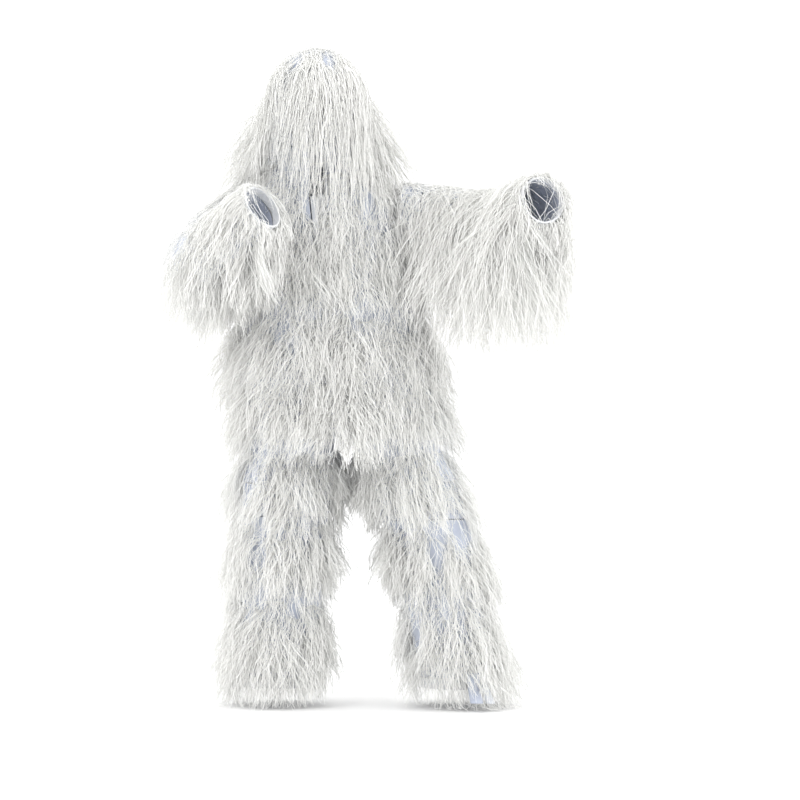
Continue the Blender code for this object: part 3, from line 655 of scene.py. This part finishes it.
SLEEVE_REACH = 0.13
SLEEVE_TIERS = {
    # tier: side, first and last share of the sleeve, rows, tufts, half angle, length, burst
    "shoulder_r": ("_r", -0.16, 0.22, 7, 14, 170, 0.19, 2.2),
    "upper_r": ("_r", 0.22, 0.46, 6, 16, 180, 0.19, 2.2),
    "elbow_r": ("_r", 0.44, 0.60, 5, 17, 180, 0.20, 1.2),
    "cuff_r": ("_r", 0.58, 1.05, 8, 14, 170, 0.19, 0.5),
    "shoulder_l": ("_l", -0.16, 0.24, 7, 13, 165, 0.17, 0.4),
    "upper_l": ("_l", 0.24, 0.48, 5, 14, 150, 0.37, 0.4),
    "elbow_l": ("_l", 0.46, 0.64, 4, 13, 140, 0.42, 0.4),
    "cuff_l": ("_l", 0.62, 1.05, 8, 13, 145, 0.43, 0.4),
}
# The rows at a cuff's rim have short threads, which half cover the mouth of the sleeve.
RIM_LENGTH = 0.075
SLEEVE_DRIFT = {"_r": -0.10, "_l": 0.08}
for number, (tier, (side, first, last, rows, tufts, half, length, burst)) in enumerate(
        SLEEVE_TIERS.items()):
    chance = np.random.default_rng(20 + number)
    sewn = sew_sleeve(chance, side, first, last, rows, tufts, half, length)
    if "cuff" in tier:
        sewn += sew_sleeve(chance, side, 1.0, 1.035, 2, 26, 180, RIM_LENGTH)
        body = "fore_sleeve" + side
    else:
        body = arm_joins[side]["shoulder_fold" if "shoulder" in tier else "elbow_fold"]
    grow_threads("sleeve_threads_" + tier, "sleeve_fringe_" + tier, body,
                                        sewn, chance, burst=burst, sway=0.34, fan=0.06,
                                        drift=SLEEVE_DRIFT[side])
for node, cloth in sleeve_cloth.items():
    side = node[-2:]


# ---------------------------------------------------------------- trousers
# Loose trousers of the same twill, pulled on over other clothes: a seat and two straight
# legs, each leg in a thigh and a shin with soft cloth between them at the groin and knee.
seat_cloth = soft_copy("trouser_seat", "jacket", twill, 0.006)
leg_cloth = {}
for side in ("_r", "_l"):
    thigh_body, shin_body = f"thigh{side}_body", f"shin{side}_body"
    leg_cloth["thigh" + side] = soft_copy("thigh" + side, thigh_body, twill, 0.006)
    leg_cloth["shin" + side] = soft_copy("shin" + side, shin_body, twill, 0.006)
    for part, parent, child in (("groin_fold", "jacket", thigh_body),
                                ("knee_fold", thigh_body, shin_body)):
        low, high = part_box(part + side)
        joins = (parent, child, *fold_ends(part + side, -UP))
        hang_fold(part + side, joins, 0.006, 0.016)


# ---------------------------------------------------------------- leg threads
# Three tiers go round each leg. The top one bursts from under the jacket's hem, and the
# bottom one reaches the ground, where its ends splay out over the wearer's feet.
LEG_FAN = {"thigh": 0.09, "knee": 0.05, "hem": 0.05}
LEG_DRIFT = {"_r": -0.06, "_l": 0.08}
INNER_SHARE = 0.72                     # of their length is left on threads between the legs
LEG_REACH = 0.22
LEG_TUFTS = 24


def leg_middle(side, height):
    """The middle of a leg at a height, between the middles of its pieces."""
    middles = [middle_of(part + side) for part in LEG_PARTS]
    above = min((m for m in middles if m.z >= height), key=lambda m: m.z, default=middles[0])
    below = max((m for m in middles if m.z < height), key=lambda m: m.z, default=middles[-1])
    return above.lerp(below, (above.z - height) / max(above.z - below.z, 0.001))


for number, side in enumerate(("_r", "_l")):
    chance = np.random.default_rng(40 + number)
    for tier, fold, rows, depth, share in (("thigh", "groin_fold", 6, 0.12, 1.02),
                                           ("knee", "knee_fold", 6, 0.13, 1.00),
                                           ("hem", None, 5, 0.17, 0.95)):
        node = f"leg_fringe_{tier}{side}"
        low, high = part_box(node)
        sewn = []
        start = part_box(fold + side)[1].z - 0.02 if fold else high.z
        limb = ("jacket", f"thigh{side}_body", f"shin{side}_body")
        bodies = limb[:2] if tier == "thigh" else limb[1:]
        for height in rows_between(start, high.z - depth, rows):
            length = share * (0.55 * (height - low.z) + 0.45 * (high.z - low.z))
            sewn += sew_row(chance, leg_skin[side], leg_middle(side, height), UP, FRONT, -180, 180,
                            LEG_TUFTS, LEG_REACH, length)
        sewn = [(spot, way, length * (INNER_SHARE if way.x * LEG_DRIFT[side] < -0.02 else 1.0))
                for spot, way, length in sewn]
        body = (*bodies, *fold_ends(fold + side, -UP)) if fold else bodies[1]
        grow_threads(f"leg_threads_{tier}{side}", node, body, sewn,
                                                chance, fan=LEG_FAN[tier],
                                                drift=LEG_DRIFT[side], stand=(0.003, 0.020))
for node, cloth in leg_cloth.items():
    side = node[-2:]
    low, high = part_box(node)


# ---------------------------------------------------------------- hem strips
# Two short ends of cloth tape, one lilac-grey twill and one white, are tied in among the
# threads at the outer front of the left hem. They hang over the foot and curl outwards.
STRIP_LENGTH = 0.075
STRIP_THICKNESS = 0.0012
band_low, band_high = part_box("leg_hem_band_l")
strip_root = Vector((band_high.x - 0.062, band_low.y, band_high.z + 0.02))
# name, cloth, width, and how far the strip is sewn from the first one
for name, material, width, across in (("hem_strip_twill", twill, 0.034, 0.0),
                                      ("hem_strip_white", tape, 0.022, 0.031)):
    bm = bmesh.new()
    bmesh.ops.create_grid(bm, x_segments=4, y_segments=14, size=0.5)
    spot = leg_skin["_l"].find_nearest(strip_root + Vector((across, 0.0, 0.0)))[0]
    drop = spot.z - GROUND - STRIP_THICKNESS
    for vert in bm.verts:
        down = 0.5 - vert.co.y
        bulge = 0.024 + 0.055 * down ** 1.8 + 0.003 * math.sin(9.0 * down + across * 90.0)
        lean = across * 0.5 * down + 0.010 * down
        vert.co = spot + Vector((vert.co.x * width + lean, -bulge + abs(vert.co.x) * 0.010,
                                 -min(drop, STRIP_LENGTH * down ** 0.9)))
    mesh = bpy.data.meshes.new(name)
    bm.to_mesh(mesh)
    bm.free()
    mesh.shade_smooth()
    mesh.materials.append(material)
    strip = bpy.data.objects.new(name, mesh)
    bpy.context.scene.collection.objects.link(strip)
    thickness = strip.modifiers.new("thickness", "SOLIDIFY")
    thickness.thickness = STRIP_THICKNESS
    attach(strip, "shin_l_body")


# ---------------------------------------------------------------- hood
# A deep hood of the twill in a crown and two sides, bound with tape round the face. Soft
# cloth joins it to the collar. Long threads cover it.
HOOD_REACH = 0.3
hood_cloth = {node: soft_copy(node, "hood", twill, 0.004, 0.016)
              for node in ("hood_crown", "hood_side_r", "hood_side_l")}
face_tape = soft_copy("hood_face_binding", "hood", tape, 0.001, 0.008)
hang_fold("hood_neck_fold", ("jacket", "hood", *fold_ends("hood_neck_fold", UP)), 0.004, 0.014)

head_middle = middle_of("hood_crown", "hood_side_r", "hood_side_l")
head_middle.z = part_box("hood_crown")[0].z - 0.08


def head_at(height):
    """The middle of the hood at a height."""
    return Vector((head_middle.x, head_middle.y, height))


chance = np.random.default_rng(60)
crown_tufts = []
# The crown's rings of tufts: how high each lies above the head's middle in degrees, and tufts.
for tilt, tufts in ((84, 4), (74, 8), (63, 11), (52, 14), (42, 16), (32, 18), (22, 20)):
    crown_tufts += sew_row(chance, hood_skin, head_middle, UP, FRONT, -180, 180, tufts, HOOD_REACH,
                           0.19, math.radians(tilt))
crown_threads = grow_threads("hood_crown_threads", "hood_fringe_crown", "hood", crown_tufts,
                             chance, burst=0.1, weight=1.0, sway=0.16, lock=0.10, fan=0.02,
                             stand=(0.002, 0.010))
cape_low, cape_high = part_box("hood_fringe_cape")
cape_tufts = []
for height in rows_between(cape_high.z + 0.02, cape_low.z + 0.09, 5):
    cape_tufts += sew_row(chance, hood_skin, head_at(height), UP, FRONT, 58, 302, 20, HOOD_REACH,
                          0.27)
# The cape's threads lie on the shoulders.
cape_rests = head_at(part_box("hood_neck_fold")[0].z - 0.03)
cape_tips = head_at(cape_high.z - 0.03)
cape_threads = grow_threads("hood_cape_threads", "hood_fringe_cape",
                            ("jacket", "hood", cape_rests, cape_tips), cape_tufts, chance,
                            threads=22, sway=0.24, fan=0.38, drift=-0.06, stand=(0.004, 0.022))


# ---------------------------------------------------------------- veil
# A piece of knotted netting hangs from the brow before the face, and the longest threads of
# the suit are tied over it. The netting lifts with the veil at the brow.
netting, tree, shader, place = finish_of("white knotted netting", 0.8)
knots = add_node(tree, "ShaderNodeTexNoise", {"Vector": place, "Scale": 300.0})
tree.links.new(two_tones(tree, knots.outputs["Fac"], "B9BEC6", "DFE2E6"),
               shader.inputs["Base Color"])
NET_CELL = 0.0135
NET_LINE = 0.0014
NET_EDGE = 0.005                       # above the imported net's thickness, so its rims go too
bm = bmesh.new()
bm.from_mesh(frame["nodes"]["veil_net"].data)
bmesh.ops.remove_doubles(bm, verts=bm.verts, dist=SEAM_MERGE)
inner = [face for face in bm.faces
         if face.normal.dot(face.calc_center_median() - head_middle) < 0.0
         or min(edge.calc_length() for edge in face.edges) < NET_EDGE]
bmesh.ops.delete(bm, geom=inner, context="FACES")
make_finer(bm, NET_CELL)
net_mesh = bpy.data.meshes.new("veil_netting")
bm.to_mesh(net_mesh)
bm.free()
net_mesh.materials.append(netting)
veil_netting = bpy.data.objects.new("veil_netting", net_mesh)
bpy.context.scene.collection.objects.link(veil_netting)
strands = veil_netting.modifiers.new("knotted lines", "WIREFRAME")
strands.thickness = NET_LINE
bpy.context.view_layer.update()
knotted = bpy.data.meshes.new_from_object(
    veil_netting.evaluated_get(bpy.context.evaluated_depsgraph_get()))
low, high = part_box("veil_net")
bpy.data.meshes.remove(knotted)
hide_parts("veil_net")
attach(veil_netting, "veil")

chance = np.random.default_rng(70)
veil_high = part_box("veil_fringe")[1]
veil_tufts = []
# The veil's rows above the brow: height, tufts and length. The raised right sleeve leaves
# room for shorter threads only on its side.
for lift, tufts, length in ((0.000, 20, 0.40), (0.012, 20, 0.42), (0.024, 20, 0.44),
                            (0.036, 20, 0.46), (0.048, 18, 0.46)):
    at = head_at(veil_high.z + lift)
    right = tufts * 2 // 5
    veil_tufts += sew_row(chance, hood_skin, at, UP, FRONT, -64, -16, right, HOOD_REACH,
                          length * 0.74)
    veil_tufts += sew_row(chance, hood_skin, at, UP, FRONT, -16, 64, tufts - right, HOOD_REACH,
                          length)
veil_sewn = head_at(veil_high.z + 0.012)
veil_hangs = veil_sewn - UP * 0.03
veil_threads = grow_threads("veil_threads", "veil_fringe",
                            ("hood", "veil", veil_sewn, veil_hangs), veil_tufts, chance,
                            threads=22, burst=0.3, weight=1.0, sway=0.22, lock=0.12, fan=0.03,
                            stand=(0.004, 0.024), points=12)


# ---------------------------------------------------------------- room, light and camera
# The suit stands on a plain white floor in soft light from all round, with a broad lamp high
# on the left that gives the threads a little shade. The camera is level with the waist.
bpy.data.objects.remove(yarn_section)
floor_mesh = bpy.data.meshes.new("floor")
bm = bmesh.new()
bmesh.ops.create_grid(bm, x_segments=1, y_segments=1, size=30.0)
bmesh.ops.translate(bm, verts=bm.verts, vec=(0.0, 0.0, GROUND))
bm.to_mesh(floor_mesh)
bm.free()
paper, tree, shader, place = finish_of("white studio paper", 0.9)
shader.inputs["Base Color"].default_value = linear("FAFAFA")
floor_mesh.materials.append(paper)
floor = bpy.data.objects.new("floor", floor_mesh)
bpy.context.scene.collection.objects.link(floor)

world = bpy.data.worlds.new("white room")
world.use_nodes = True
world.node_tree.nodes["Background"].inputs["Color"].default_value = (1.0, 1.0, 1.0, 1.0)
world.node_tree.nodes["Background"].inputs["Strength"].default_value = 1.40
bpy.context.scene.world = world

for name, spot, size, power in (("key lamp", (-2.5, -3.5, 2.5), 2.5, 60.0),
                                ("fill lamp", (3.5, -3.0, 1.0), 3.0, 20.0)):
    lamp = bpy.data.lights.new(name, "AREA")
    lamp.size = size
    lamp.energy = power
    lamp_object = bpy.data.objects.new(name, lamp)
    lamp_object.location = spot
    aim = Vector((0.1, 0.0, -0.5)) - Vector(spot)
    lamp_object.rotation_euler = aim.to_track_quat("-Z", "Y").to_euler()
    bpy.context.scene.collection.objects.link(lamp_object)

CAMERA_AWAY = 8.0
FRAME_WIDTH = 2.16
camera = bpy.data.cameras.new("camera")
camera.sensor_width = 36.0
camera.lens = camera.sensor_width * CAMERA_AWAY / FRAME_WIDTH
camera_object = bpy.data.objects.new("camera", camera)
camera_object.location = (0.2235, -CAMERA_AWAY, -0.6365)
camera_object.rotation_euler = (math.pi / 2, 0.0, 0.0)
bpy.context.scene.collection.objects.link(camera_object)
bpy.context.scene.camera = camera_object
bpy.context.scene.view_settings.view_transform = "Standard"
